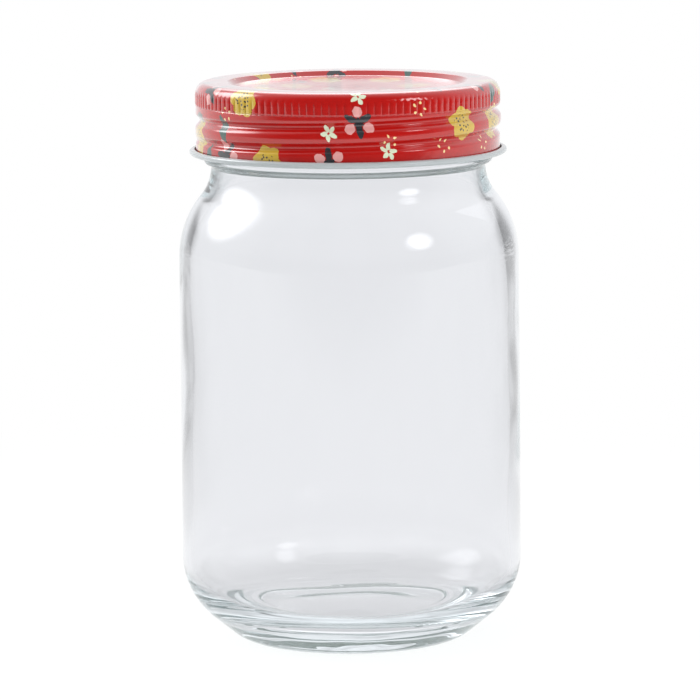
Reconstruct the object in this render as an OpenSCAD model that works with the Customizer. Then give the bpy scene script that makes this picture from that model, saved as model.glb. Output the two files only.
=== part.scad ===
// Glass storage jar with a one-piece screw lid.
// Three separate pieces: the glass jar, the rolled tinplate lid and the sealing ring flowed
// into the lid. Millimetres. The jar stands on z = 0 with its axis on Z, and the lid is
// screwed down. Heights of the lid's own features are measured down from its crest.

/* [Jar body] */
// Height of the glass jar, from its foot to the top of its lip
jar_h = 128.7; // [115:0.1:160]
// Body diameter just above the heel
body_d = 79.4; // [76:0.1:88]
// Body diameter just below the shoulder
shoulder_d = 78.9; // [76:0.1:88]
// Thickness of the body wall
wall = 2.7; // [2:0.1:3.6]
// Radius of the rounded shoulder
shoulder_r = 22.1; // [19:0.1:25]
// Radius of the hollow between the shoulder and the neck
throat_r = 10.6; // [8:0.1:13]
// Radius of the rounded heel
heel_r = 17.8; // [14:0.1:19]
// Slope of the cone below the heel, measured from the vertical
heel_slope = 50.6; // [45:0.1:58]
// Radius of the roll between that cone and the foot
foot_r = 7.4; // [5:0.1:10]
// Outside diameter of the flat ring that stands on the table
foot_d = 47.6; // [42:0.1:54]
// Width of that ring
foot_w = 1.3; // [0.6:0.1:3]
// Radius of the rounded corner between the inside wall and the floor
floor_corner_r = 10.5; // [7:0.1:14]

/* [Jar base] */
// Thickness of the glass at the middle of the base
base_t = 5.2; // [3.5:0.1:8]
// Height of the push-up under the middle of the base
punt_h = 3.4; // [1.5:0.1:6]
// Height of the step at the edge of the push-up
punt_step = 0.8; // [0.3:0.1:1.4]
// Rise of the floor from its edge to its middle
floor_rise = 0.4; // [0:0.1:1.2]

/* [Jar finish] */
// Diameter of the mouth
mouth_d = 59.6; // [56:0.1:61]
// Outside diameter of the neck, below the bead
neck_d = 63.6; // [63:0.1:65]
// Diameter of the bead that rings the neck under the lid
bead_d = 67; // [66.8:0.1:69]
// Height of that bead
bead_h = 1.8; // [1.6:0.1:4]
// Height of the straight neck, between the bead and the throat
neck_h = 0.6; // [0:0.1:2]
// Diameter at the root of the glass thread
finish_d = 66.2; // [65.4:0.1:67]
// Diameter over the glass thread
thread_d = 68.9; // [68.7:0.05:69.2]
// Width of the glass thread at its crest
thread_crest_w = 0.9; // [0.5:0.05:1.2]
// Slope of the glass thread's flanks, measured from the radius
thread_flank = 38; // [25:1:45]
// Turns of the glass thread
thread_turns = 1.6; // [1.1:0.05:1.7]
// Radius of the lip's rounded edges
lip_r = 1; // [0.4:0.1:1.3]

/* [Lid] */
// Thickness of the tinplate
sheet = 0.22; // [0.18:0.01:0.28]
// Height of the lid, from its crest to the bottom of the rolled edge
lid_h = 16.75; // [16.5:0.05:18.5]
// Diameter over the knurled band
knurl_d = 70.6; // [70.5:0.05:71]
// Depth of the flutes in the knurled band
flute_depth = 0.24; // [0.1:0.02:0.28]
// Number of flutes
flutes = 128; // [90:1:140]
// Distance from the crest down to the end of the knurled band
knurl_end = 4.9; // [4:0.1:5.2]
// Diameter of the plain skirt
skirt_d = 70.44; // [70.3:0.02:70.8]
// Radius of the lid's rounded outer corner
corner_r = 2.1; // [1.4:0.1:2.5]
// Diameter of the recessed centre panel
panel_d = 53.6; // [46:0.1:55]
// Depth of the panel below the crest
panel_drop = 1.6; // [1:0.1:2.2]
// Width of the sloping recess wall around the panel
recess_w = 1.7; // [1.2:0.1:2]
// Width of the rolled edge's own oval section
curl_w = 1.75; // [1.3:0.05:2.2]
// Height of that section
curl_h = 1.4; // [1.1:0.05:2]

/* [Lid thread] */
// Rise of the thread in one turn
pitch = 4.7; // [4.3:0.05:5.1]
// Smallest outside diameter, at the bottom of the rolled groove
groove_d = 68.6; // [68.5:0.05:68.9]
// Width of the rolled groove
groove_w = 3.1; // [2.4:0.1:3.4]
// Outside diameter of the ridge between two turns of the groove
ridge_d = 71.04; // [70.9:0.02:71.4]
// Turns of the groove, with its run-outs
groove_turns = 1.68; // [1.3:0.02:1.7]
// Distance from the crest down to the lower turn of the groove, at the front
groove_drop = 12.2; // [12:0.1:12.6]
// Direction in which the groove starts, in degrees from +X
groove_start = 165; // [0:5:355]

/* [Seal] */
// Thickness of the sealing ring
gasket_t = 1; // [0.6:0.1:1.5]
// Width of the sealing ring
gasket_w = 4.4; // [3.8:0.1:5]

/* [Clearances] */
// Between the sealing ring and the lid or the lip
seal_gap = 0.05; // [0.02:0.01:0.2]
// Between the outer edge of the sealing ring and the inside of the knurled band
gasket_gap = 1.14; // [1:0.02:1.6]
// Between the flanks of the glass thread and the lid's groove
thread_gap = 0.25; // [0.1:0.05:0.4]
// Between the lid's rolled edge and the bead below it
bead_gap = 0.3; // [0.15:0.05:1]

/* [Hidden] */
$fn = 96;

// Steps of the arcs and of the threaded wall, and the turn between two thread sections
arc_steps = 14;
wall_columns = 90;
wall_rows = 21;
thread_step = 5;
// Overlap of parts of one piece, coarse and fine
weld = 0.2;
skin = 0.03;
// Turn over which the groove and the glass thread fade in and out
fade_turn = 55;
thread_fade = 25;

body_r = body_d / 2;
mouth_r = mouth_d / 2;
neck_r = neck_d / 2;
finish_r = finish_d / 2;
bead_r = max(bead_d / 2, finish_r + 0.2);
thread_r = thread_d / 2;
foot_ring_r = foot_d / 2;
punt_r = foot_ring_r - foot_w;
knurl_r = knurl_d / 2;
flute_r = knurl_r - flute_depth;
skirt_r = skirt_d / 2;
groove_r = groove_d / 2;
ridge_r = ridge_d / 2;
panel_r = panel_d / 2;

// Stack of heights, from the lip up to the crest and down to the rolled edge
crest_z = jar_h + seal_gap + gasket_t + seal_gap + sheet;
lid_bottom_z = crest_z - lid_h;
bead_top_z = lid_bottom_z - bead_gap;
bead_bottom_z = bead_top_z - bead_h;
throat_z = bead_bottom_z - neck_h;
floor_z = punt_h + base_t;
floor_edge_z = floor_z - floor_rise;

// Centres of the shoulder and throat arcs, outside and inside, each pair touching
shoulder_c = shoulder_d / 2 - shoulder_r;
throat_c = neck_r + throat_r;
shoulder_z = throat_z - rise(shoulder_c, throat_c, shoulder_r + throat_r);
shoulder_turn = atan2(throat_z - shoulder_z, throat_c - shoulder_c);
inner_shoulder_r = shoulder_r - wall;
inner_throat_r = throat_r + wall;
inner_throat_c = mouth_r + inner_throat_r;
inner_throat_z = shoulder_z + rise(shoulder_c, inner_throat_c, inner_shoulder_r + inner_throat_r);
inner_turn = atan2(inner_throat_z - shoulder_z, inner_throat_c - shoulder_c);

// Rounded lower and upper corners of the bead
bead_edge_r = min(0.4, bead_r - finish_r);
bead_round_r = min(1.1, bead_r - neck_r - 0.2, bead_h - bead_edge_r - 0.1);

// Centre of the heel arc, such that one cone touches the heel and the foot roll
heel_c = body_r - heel_r;
heel_reach = (heel_r - foot_r + (heel_c - foot_ring_r) * cos(heel_slope)) / sin(heel_slope);
heel_z = foot_r + heel_reach;

// Inside wall at the height where the floor's corner starts
floor_corner_z = floor_edge_z + floor_corner_r;
inner_wall_r = body_r - wall;

// Thread: the lid's groove lies below the glass thread by their half widths and a gap
groove_in_r = groove_r - sheet;
skirt_in_r = skirt_r - sheet;
bite = max(0, thread_r - groove_in_r);
bite_share = min(1, max(0, (skirt_in_r - thread_r) / (skirt_in_r - groove_in_r)));
groove_half_at_crest = groove_w / 2 * acos(sqrt(bite_share)) / 90;
thread_offset = thread_crest_w / 2 + thread_gap
    + max(groove_half_at_crest, bite * tan(thread_flank));
front = 270;
groove_end = groove_start + 360 * groove_turns;
thread_start = groove_start + fade_turn / 2;
thread_end = thread_start + 360 * thread_turns;

// Bands of the lid's wall, as distances below the crest
land_end = knurl_end + 0.4;
window = 0.8;
skirt_start = lid_h - 2.6;
// Direction in which the rolled edge ends, in degrees from the outward side
curl_end = 110;

// Recess wall: a straight slope between two fillets
recess_fillet = 0.5;
rim_in_r = panel_r - recess_fillet + recess_w;
recess_angle = recess_lean(recess_w, panel_drop - 2 * recess_fillet, 2 * recess_fillet);
knurl_in_r = min(flute_r - sheet, skirt_in_r - skin);

// Sealing ring: it keeps clear of the knurled band, and its small edges follow its thickness
gasket_out_r = knurl_in_r - gasket_gap;
gasket_in_r = gasket_out_r - gasket_w;
gasket_edge = 0.2 * gasket_t;

// Lean of the straight line that joins two fillets of summed radius s, dx apart and dz high
function recess_lean(dx, dz, s) = atan2(dz, dx) + asin(min(1, s / sqrt(dx * dx + dz * dz)));

// Height between the centres of two touching circles whose axes stand at radii a and b
function rise(a, b, reach) = sqrt(reach * reach - (b - a) * (b - a));

// Points of an arc about (c, z), from angle a to angle b
function arc(c, z, r, a, b, steps = arc_steps) =
    [for (i = [0 : steps]) let (t = a + (b - a) * i / steps) [c + r * cos(t), z + r * sin(t)]];

// Smooth step from 0 to 1
function smooth(x) = let (t = min(1, max(0, x))) t * t * (3 - 2 * t);

// Round bump of height 1 and half width 1
function bump(x) = abs(x) < 1 ? pow(cos(90 * x), 2) : 0;

// Height of the groove below the crest at a running angle, and how deep it is pressed there
function groove_level(t) = -groove_drop + pitch * (t - front) / 360;
function pressed(t) = smooth((t - groove_start) / fade_turn) * smooth((groove_end - t) / fade_turn);

// Outside radius of the threaded wall at angle a and at height z below the crest
function wall_r(a, z) =
    let (first = a + 360 * ceil((groove_start - a) / 360))
    let (open = smooth((-z - land_end) / window) * smooth((z + skirt_start) / window))
    let (in = max([for (k = [0 : 1]) let (t = first + 360 * k)
        pressed(t) * bump((z - groove_level(t)) / (groove_w / 2))]))
    let (out = pressed(first) * pressed(first + 360)
        * bump((z - groove_level(first) - pitch / 2) / (pitch / 2)))
    skirt_r + open * ((ridge_r - skirt_r) * out - (skirt_r - groove_r) * in);

// Closed tube between two grids of rings, each ring a list of points
function ring_faces(rings, count) = [
    for (i = [0 : rings - 1])
    for (j = [0 : count - 1])
    let (p = i * count + j)
    let (q = i * count + (j + 1) % count)
    let (r = ((i + 1) % rings) * count + j)
    let (s = ((i + 1) % rings) * count + (j + 1) % count)
    each [[p, q, s], [p, s, r]]
];

// Outside of the jar, from the middle of the base to the lip
jar_outside = concat(
    [[0, punt_h]],
    [for (i = [1 : arc_steps]) let (r = (punt_r - 1.5 * punt_step) * i / arc_steps)
        [r, punt_step + (punt_h - punt_step) * cos(90 * i / arc_steps)]],
    [[punt_r, 0]],
    arc(foot_ring_r, foot_r, foot_r, -90, -heel_slope),
    arc(heel_c, heel_z, heel_r, -heel_slope, 0),
    arc(shoulder_c, shoulder_z, shoulder_r, 0, shoulder_turn),
    arc(throat_c, throat_z, throat_r, 180 + shoulder_turn, 180),
    arc(bead_r - bead_round_r, bead_bottom_z + bead_round_r, bead_round_r, -90, 0),
    arc(bead_r - bead_edge_r, bead_top_z - bead_edge_r, bead_edge_r, 0, 90, 6),
    [[finish_r, bead_top_z]],
    arc(finish_r - lip_r, jar_h - lip_r, lip_r, 0, 90, 8)
);

// Inside of the jar, from the lip down to the middle of the floor
jar_inside = concat(
    arc(mouth_r + lip_r, jar_h - lip_r, lip_r, 90, 180, 8),
    arc(inner_throat_c, inner_throat_z, inner_throat_r, 180, 180 + inner_turn),
    arc(shoulder_c, shoulder_z, inner_shoulder_r, inner_turn, 0),
    arc(inner_wall_r - floor_corner_r, floor_corner_z, floor_corner_r, 0, -90),
    [for (i = [1 : arc_steps]) let (s = 1 - i / arc_steps)
        [(inner_wall_r - floor_corner_r) * s, floor_z - floor_rise * (1 - cos(180 * s)) / 2]]
);

module glass_jar() {
    color([0.86, 0.93, 0.93, 0.4])
    union() {
        rotate_extrude() polygon(concat(jar_outside, jar_inside));
        glass_thread();
    }
}

// Glass thread: a sharp-sided bead swept up the finish, sinking into it at both ends
module glass_thread() {
    sunk = 0.6;
    low = sunk / 2;
    root_r = finish_r - sunk;
    count = ceil((thread_end - thread_start) / thread_step);
    slope = tan(thread_flank);
    half = thread_crest_w / 2;
    round_off = min(0.2, half / 2);
    rings = [for (i = [0 : count])
        let (t = thread_start + (thread_end - thread_start) * i / count)
        let (full = min(1, min(t - thread_start, thread_end - t) / thread_fade))
        let (top = root_r + low + (thread_r - root_r - low) * full)
        let (foot = half + (top - root_r) * slope)
        let (z = crest_z + groove_level(t) + thread_offset)
        [for (p = [
            [root_r, -foot], [top - round_off, -half - round_off * slope], [top, round_off - half],
            [top, half - round_off], [top - round_off, half + round_off * slope], [root_r, foot]])
            [p[0] * cos(t), p[0] * sin(t), z + p[1]]]];
    sides = 6;
    polyhedron(
        points = [for (ring = rings) each ring],
        faces = concat(
            [[for (j = [sides - 1 : -1 : 0]) j]],
            [for (i = [0 : count - 1]) for (j = [0 : sides - 1])
                let (p = i * sides + j)
                let (q = i * sides + (j + 1) % sides)
                each [[p, q, q + sides], [p, q + sides, p + sides]]],
            [[for (j = [0 : sides - 1]) count * sides + j]]
        )
    );
}

// Lid above the thread: centre panel, recess wall, rim, outer corner and the knurled band's wall
lid_top_section = concat(
    [[0, -panel_drop]],
    [[panel_r - recess_fillet, -panel_drop]],
    arc(panel_r - recess_fillet, recess_fillet - panel_drop, recess_fillet, -90, recess_angle - 90, 6),
    arc(rim_in_r, -recess_fillet, recess_fillet, 90 + recess_angle, 90, 6),
    arc(flute_r - corner_r, -corner_r, corner_r, 90, 0),
    [[flute_r, -knurl_end], [knurl_r + skin, -knurl_end], [knurl_r + skin, -land_end]],
    [[knurl_in_r, -land_end]],
    arc(flute_r - corner_r, -corner_r, corner_r - sheet, 0, 90),
    arc(rim_in_r, -recess_fillet, recess_fillet - sheet, 90, 90 + recess_angle, 6),
    arc(panel_r - recess_fillet, recess_fillet - panel_drop, recess_fillet + sheet, recess_angle - 90, -90, 6),
    [[0, -panel_drop - sheet]]
);
module lid_shell() {
    color([0.78, 0.09, 0.09])
    translate([0, 0, crest_z])
    union() {
        rotate_extrude() polygon(lid_top_section);
        knurl();
        threaded_wall();
        rolled_edge();
    }
}

// Knurled band: a fluted ring around the plain wall
module knurl() {
    band = knurl_end - corner_r + weld;
    round_share = 0.8;
    translate([0, 0, -knurl_end - weld])
    linear_extrude(band)
    difference() {
        polygon([for (i = [0 : 4 * flutes - 1])
            let (r = flute_r - skin + (knurl_r - flute_r + skin) * [0, round_share, 1, round_share][i % 4])
            [r * cos(90 * i / flutes), r * sin(90 * i / flutes)]]);
        circle(flute_r - sheet / 2);
    }
}

// Wall with the rolled groove and ridge, the same thickness everywhere
module threaded_wall() {
    top = weld - land_end;
    bottom = -skirt_start - weld;
    levels = [for (i = [0 : wall_rows]) top + (bottom - top) * i / wall_rows];
    rings = concat(
        [for (z = levels) ring(z, 0)],
        [for (i = [wall_rows : -1 : 0]) ring(levels[i], sheet)]
    );
    polyhedron(points = [for (r = rings) each r], faces = ring_faces(len(rings), wall_columns));
}

function ring(z, inset) = [for (j = [0 : wall_columns - 1])
    let (a = 360 * j / wall_columns)
    let (r = wall_r(a, z) - inset)
    [r * cos(a), r * sin(a), z]];

// Plain end of the skirt, and its edge rolled outward until it nearly meets the skirt again
module rolled_edge() {
    roll = curl_w / 2;
    roll_c = skirt_in_r - skin + roll;
    roll_z = curl_h / 2 - lid_h;
    section = concat(arc(0, 0, roll, -180, curl_end, 24), arc(0, 0, roll - sheet, curl_end, -180, 24));
    rotate_extrude()
    union() {
        translate([skirt_in_r - skin, roll_z])
        square([sheet + 2 * skin, lid_h - curl_h / 2 - skirt_start]);
        polygon([for (p = section) [roll_c + p.x, roll_z + p.y * curl_h / curl_w]]);
    }
}

// Sealing ring, with its outer edge sloped to follow the lid's corner
module lid_gasket() {
    top = crest_z - sheet - seal_gap;
    flat_r = min(flute_r - corner_r, gasket_out_r - gasket_edge);
    slope_h = 3 * gasket_edge;
    color([0.86, 0.84, 0.8])
    rotate_extrude()
    polygon([
        [gasket_in_r, top - gasket_t],
        [gasket_out_r, top - gasket_t],
        [gasket_out_r, top - slope_h],
        [flat_r, top],
        [gasket_in_r + gasket_edge, top],
        [gasket_in_r, top - gasket_edge]
    ]);
}

glass_jar();
lid_shell();
lid_gasket();
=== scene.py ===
"""Looks of a clear glass storage jar with a printed tinplate screw lid."""

from math import acos, asin, atan2, cos, degrees, hypot, pi, radians, sin, sqrt, tan
from types import SimpleNamespace

import bpy
import numpy as np
from mathutils import Matrix, Vector


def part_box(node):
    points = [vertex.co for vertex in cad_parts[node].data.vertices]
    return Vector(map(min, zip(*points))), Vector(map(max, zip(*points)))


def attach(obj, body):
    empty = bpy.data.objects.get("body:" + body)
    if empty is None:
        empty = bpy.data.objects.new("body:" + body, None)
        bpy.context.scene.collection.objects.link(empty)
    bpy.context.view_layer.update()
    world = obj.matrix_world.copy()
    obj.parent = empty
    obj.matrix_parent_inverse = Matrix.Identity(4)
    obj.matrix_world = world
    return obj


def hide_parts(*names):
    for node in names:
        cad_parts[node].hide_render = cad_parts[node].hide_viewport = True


bl_info = {
    "name": "Glass Jar With Printed Lid",
    "version": (1, 0, 0),
    "blender": (4, 5, 0),
    "location": "View3D > Sidebar > Jar",
    "description": "Builds a clear glass jar, its printed tinplate lid and the sealing ring",
    "category": "Add Mesh",
}

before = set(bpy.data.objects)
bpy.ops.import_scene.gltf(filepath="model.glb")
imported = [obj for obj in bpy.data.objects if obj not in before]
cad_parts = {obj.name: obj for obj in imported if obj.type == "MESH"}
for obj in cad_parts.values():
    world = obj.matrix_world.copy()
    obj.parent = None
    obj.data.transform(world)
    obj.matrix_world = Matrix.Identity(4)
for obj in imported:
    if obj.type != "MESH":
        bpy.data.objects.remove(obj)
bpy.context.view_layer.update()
JAR_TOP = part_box("glass_jar")[1].z
LID_LOW, LID_TOP = (corner.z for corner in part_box("lid_shell"))
RING_LOW, RING_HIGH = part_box("lid_gasket")

MM = 0.001

# Directions and turns are in degrees, and the jar's front is at FRONT
FRONT = 270
FADE_TURN = 55  # over which the lid's groove fades in and out
THREAD_FADE = 25  # over which the glass thread does
CURL_END = 110  # where the rolled edge's curl stops
THREAD_FLANK = 38  # of both threads, from the horizontal

# Lengths are in millimetres
LAND = 0.4  # step between the flutes and the skirt
WINDOW = 0.8  # over which the groove runs out towards the skirt's two ends
PLAIN = 2.6  # plain part of the skirt, with the rolled edge
UNDER_LID = 0.3  # from the lid's rolled edge down to the bead
THREAD_GAP = 0.25  # between the thread's flank and the groove's

FINISH_STEPS = 52
LIP_STEPS = 10

# A smooth change between the two values that a MapRange node is given
SOFTLY = {"interpolation_type": "SMOOTHSTEP"}

# Noise over the print's flat layout
ON_SHEET = {"noise_dimensions": "2D"}

# A Mix node for colours: its factor, its two colour inputs and its colour output
COLOURS = {"data_type": "RGBA"}
SHARE, UNDER, OVER, MIXED = 0, 6, 7, 2


def linear(code):
    """An sRGB hex colour as linear red, green and blue."""
    parts = [int(code[i : i + 2], 16) / 255 for i in (1, 3, 5)]
    return tuple(p / 12.92 if p <= 0.04045 else ((p + 0.055) / 1.055) ** 2.4 for p in parts)


def length(name, default_mm, description):
    """A size that a user can change, given here in millimetres."""
    return bpy.props.FloatProperty(
        name=name,
        description=description,
        default=default_mm * MM,
        min=0,
        precision=5,
        unit="LENGTH",
        subtype="DISTANCE",
    )


def colour(name, code, description):
    """A colour that a user can change, given here as sRGB hex."""
    return bpy.props.FloatVectorProperty(
        name=name,
        description=description,
        default=linear(code),
        min=0,
        max=1,
        size=3,
        subtype="COLOR",
    )


class GlassJarSizes(bpy.types.PropertyGroup):
    """Sizes and colours of the glass jar."""

    height: length("Height", JAR_TOP / MM, "From the foot to the top of the lip")
    body_d: length("Body diameter", 79.4, "Just above the heel")
    shoulder_d: length("Shoulder diameter", 78.9, "Just below the shoulder")
    wall: length("Wall", 2.7, "Thickness of the body wall")
    shoulder_r: length("Shoulder radius", 22.1, "Radius of the rounded shoulder")
    throat_r: length("Throat radius", 10.6, "Hollow between the shoulder and the neck")
    heel_r: length("Heel radius", 17.8, "Radius of the rounded heel")
    heel_slope: bpy.props.FloatProperty(
        name="Heel slope",
        description="Slope of the cone below the heel, from the vertical",
        default=radians(50.6),
        subtype="ANGLE",
    )
    foot_r: length("Foot roll", 7.4, "Roll between the heel cone and the foot ring")
    foot_d: length("Foot diameter", 47.6, "Outside of the flat ring under the jar")
    foot_w: length("Foot width", 1.3, "Width of the flat ring under the jar")
    floor_corner_r: length("Floor corner", 10.5, "Between the wall and the floor")
    base_t: length("Base thickness", 5.2, "Glass at the middle of the base")
    punt_h: length("Push-up", 3.4, "Height of the hollow under the base")
    punt_step: length("Push-up step", 0.35, "Step at the edge of the push-up")
    floor_rise: length("Floor rise", 0.4, "Rise of the floor to its middle")
    mouth_d: length("Mouth", 59.6, "Diameter of the mouth")
    neck_d: length("Neck", 63.6, "Outside diameter below the bead")
    bead_d: length("Bead diameter", 67.0, "Bead that rings the neck")
    bead_h: length("Bead height", 1.8, "Bead that rings the neck")
    neck_h: length("Neck height", 0.6, "Straight part below the bead")
    finish_d: length("Finish", 66.2, "Diameter at the root of the glass thread")
    thread_d: length("Thread", 68.9, "Diameter over the glass thread")
    thread_crest: length("Thread crest", 0.9, "Width of the thread at its crest")
    thread_turns: bpy.props.FloatProperty(
        name="Thread turns", description="Turns of the glass thread", default=1.6
    )
    lip_r: length("Lip radius", 1.0, "Rounded edges of the lip")
    marks: bpy.props.IntProperty(
        name="Grip marks", description="Short bars round the underside", default=96
    )
    uneven: length("Unevenness", 0.09, "How far the inside wall wanders")
    tint: colour("Glass tint", "#D3E4E6", "Colour of the thick glass")


class PrintedLidSizes(bpy.types.PropertyGroup):
    """Sizes and colours of the tinplate lid."""

    height: length("Height", (LID_TOP - LID_LOW) / MM, "From the crest to the rolled edge")
    sheet: length("Sheet", 0.22, "Thickness of the tinplate")
    knurl_d: length("Knurl diameter", 70.6, "Over the fluted band")
    flute_depth: length("Flute depth", 0.24, "Depth of the flutes")
    flutes: bpy.props.IntProperty(
        name="Flutes", description="Number of flutes round the lid", default=128
    )
    knurl_end: length("Knurl end", 4.9, "From the crest down to the end of the flutes")
    skirt_d: length("Skirt diameter", 70.44, "Plain part of the skirt")
    corner_r: length("Corner radius", 2.1, "Rounded outer corner")
    panel_d: length("Panel diameter", 53.6, "Recessed centre panel")
    panel_drop: length("Panel depth", 1.6, "Panel below the crest")
    recess_w: length("Recess width", 1.7, "Sloping wall round the panel")
    panel_lift: length("Panel lift", 0.45, "Edge of the dished panel above the flat one")
    panel_dish: length("Panel dish", 1.0, "Middle of the panel below its edge")
    curl_w: length("Rolled edge width", 1.75, "Width of the rolled edge's section")
    curl_h: length("Rolled edge height", 1.4, "Height of the rolled edge's section")
    pitch: length("Pitch", 4.7, "Rise of the thread in one turn")
    groove_d: length("Groove diameter", 68.6, "At the bottom of the rolled groove")
    groove_w: length("Groove width", 3.1, "Width of the rolled groove")
    ridge_d: length("Ridge diameter", 71.04, "Between two turns of the groove")
    groove_drop: length("Groove depth", 12.2, "From the crest to the lower turn in front")
    groove_turns: bpy.props.FloatProperty(
        name="Groove turns", description="Turns of the groove", default=1.68
    )
    groove_start: bpy.props.FloatProperty(
        name="Groove start",
        description="Direction in which the groove starts",
        default=radians(165),
        subtype="ANGLE",
    )
    motif_gap: length("Motif spacing", 13.8, "Distance between the large motifs")
    red: colour("Ground", "#AE110D", "Ground colour of the print")
    mustard: colour("Mustard", "#BFA03A", "Large blossoms")
    charcoal: colour("Charcoal", "#2E3034", "Stems, pips and crescents")
    pink: colour("Pink", "#D79A97", "Round berries")
    green: colour("Green", "#33504A", "Single leaves")
    mint: colour("Mint", "#CFD9BE", "Little five-petalled flowers")
    cream: colour("Cream", "#E3C98F", "Rings of dots")
    lacquer: colour("Lacquer", "#A8AEB0", "Inside of the lid and its rolled edge")
    enamel: colour("Inside lacquer", "#B4B9BB", "Lacquer inside the shell")


class SealingRingSizes(bpy.types.PropertyGroup):
    """Sizes and colour of the sealing ring."""

    outside_d: length("Outside", 2 * RING_HIGH.x / MM, "Outside diameter")
    width: length("Width", 4.4, "Width of the ring")
    low: length("Bottom", RING_LOW.z / MM, "Height of the underside")
    high: length("Top", RING_HIGH.z / MM, "Height of the top")
    plastisol: colour("Plastisol", "#D9D3C6", "Colour of the sealing ring")


class StageSettings(bpy.types.PropertyGroup):
    """Floor and backdrop."""

    floor: colour("Floor", "#F4F4F4", "Colour of the floor")
    behind: colour("Backdrop", "#EBECF0", "Pale paper seen through the glass")


def in_mm(group):
    """The group's values, with its lengths in millimetres."""
    values = {}
    for prop in group.bl_rna.properties:
        if prop.identifier not in ("rna_type", "name"):
            value = getattr(group, prop.identifier)
            is_length = getattr(prop, "unit", "NONE") == "LENGTH"
            values[prop.identifier] = value / MM if is_length else value
    return SimpleNamespace(**values)


# ---------------------------------------------------------------- outlines


def arc(centre, z, radius, start, end, steps=24):
    """Points of an arc about (centre, z), between two angles in degrees."""
    turn = np.radians(np.linspace(start, end, steps + 1))
    return np.stack([centre + radius * np.cos(turn), z + radius * np.sin(turn)], 1)


def line(start, end, steps=8):
    """Points of a straight line, without its two ends."""
    share = np.linspace(0, 1, steps + 1)[1:-1, None]
    return np.array(start) + share * (np.array(end) - np.array(start))


def smooth(x):
    """Smooth step from 0 to 1."""
    t = np.clip(x, 0, 1)
    return t * t * (3 - 2 * t)


def bump(x):
    """Round bump of height 1 and half width 1."""
    return np.where(np.abs(x) < 1, np.cos(np.clip(x, -1, 1) * pi / 2) ** 2, 0)


def rise(a, b, reach):
    """Height between the centres of two touching circles at radii a and b."""
    return sqrt(reach * reach - (b - a) ** 2)


def groove(lid):
    """The screw line of the lid's groove: its height below the crest and its depth there."""
    start = degrees(lid.groove_start)
    end = start + 360 * lid.groove_turns

    def level(t):
        return -lid.groove_drop + lid.pitch * (t - FRONT) / 360

    def pressed(t):
        return smooth((t - start) / FADE_TURN) * smooth((end - t) / FADE_TURN)

    return start, end, level, pressed


def skirt_radius(lid, turn, z):
    """Outside radius of the threaded skirt at a direction and a height below the crest."""
    start, _, level, pressed = groove(lid)
    first = turn + 360 * np.ceil((start - turn) / 360)
    land_end = lid.knurl_end + LAND
    plain_start = lid.height - PLAIN
    rolled = smooth((-z - land_end) / WINDOW) * smooth((z + plain_start) / WINDOW)
    inward = np.maximum(
        pressed(first) * bump((z - level(first)) / (lid.groove_w / 2)),
        pressed(first + 360) * bump((z - level(first + 360)) / (lid.groove_w / 2)),
    )
    outward = (
        pressed(first)
        * pressed(first + 360)
        * bump((z - level(first) - lid.pitch / 2) / (lid.pitch / 2))
    )
    skirt_r, groove_r, ridge_r = lid.skirt_d / 2, lid.groove_d / 2, lid.ridge_d / 2
    return skirt_r + rolled * ((ridge_r - skirt_r) * outward - (skirt_r - groove_r) * inward)


# ---------------------------------------------------------------- meshes


def ring_mesh(name, radii, heights, edge_angle=40):
    """A closed round mesh.

    Radii and heights hold a row for each ring, in millimetres. The first and the last ring lie
    on the axis, and the rows run so that outer walls are climbed.
    """
    rows, columns = radii.shape
    turn = 2 * pi * np.arange(columns) / columns
    rings = np.stack([radii * np.cos(turn), radii * np.sin(turn), heights], -1)
    ends = np.zeros((2, 3))
    ends[:, 2] = heights[0, 0], heights[-1, 0]
    points = np.vstack([ends[:1], rings[1:-1].reshape(-1, 3), ends[1:]]) * MM
    here = 1 + np.arange((rows - 2) * columns).reshape(rows - 2, columns)
    ahead = np.roll(here, -1, axis=1)
    quads = np.stack([here[:-1], ahead[:-1], ahead[1:], here[1:]], -1).reshape(-1, 4)
    low = np.stack([np.zeros(columns, int), ahead[0], here[0]], -1)
    high = np.stack([here[-1], ahead[-1], np.full(columns, len(points) - 1)], -1)
    mesh = bpy.data.meshes.new(name)
    mesh.from_pydata(points.tolist(), [], low.tolist() + quads.tolist() + high.tolist())
    mesh.shade_smooth()
    mesh.set_sharp_from_angle(angle=radians(edge_angle))
    return mesh


def place(name, mesh, materials, body, node):
    """Adds a piece to the scene in the place of its CAD node."""
    piece = bpy.data.objects.new(name, mesh)
    bpy.context.scene.collection.objects.link(piece)
    for material in materials:
        mesh.materials.append(material)
    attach(piece, body)
    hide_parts(node)
    return piece


# ---------------------------------------------------------------- materials


def put(tree, kind, values=(), operation=None, **settings):
    """Adds a node with its settings, and its inputs as values or links. Gives its outputs."""
    node = tree.nodes.new("ShaderNode" + kind)
    if operation:
        node.operation = operation
    for name, value in settings.items():
        setattr(node, name, value)
    pairs = values.items() if isinstance(values, dict) else enumerate(values)
    for key, value in pairs:
        if isinstance(value, bpy.types.NodeSocket):
            tree.links.new(value, node.inputs[key])
        elif value is not None:
            node.inputs[key].default_value = value
    return node.outputs


def new_material(name):
    """An empty material, its node tree and its output node."""
    material = bpy.data.materials.new(name)
    material.use_nodes = True
    tree = material.node_tree
    tree.nodes.clear()
    output = tree.nodes.new("ShaderNodeOutputMaterial")
    return material, tree, output


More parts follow.
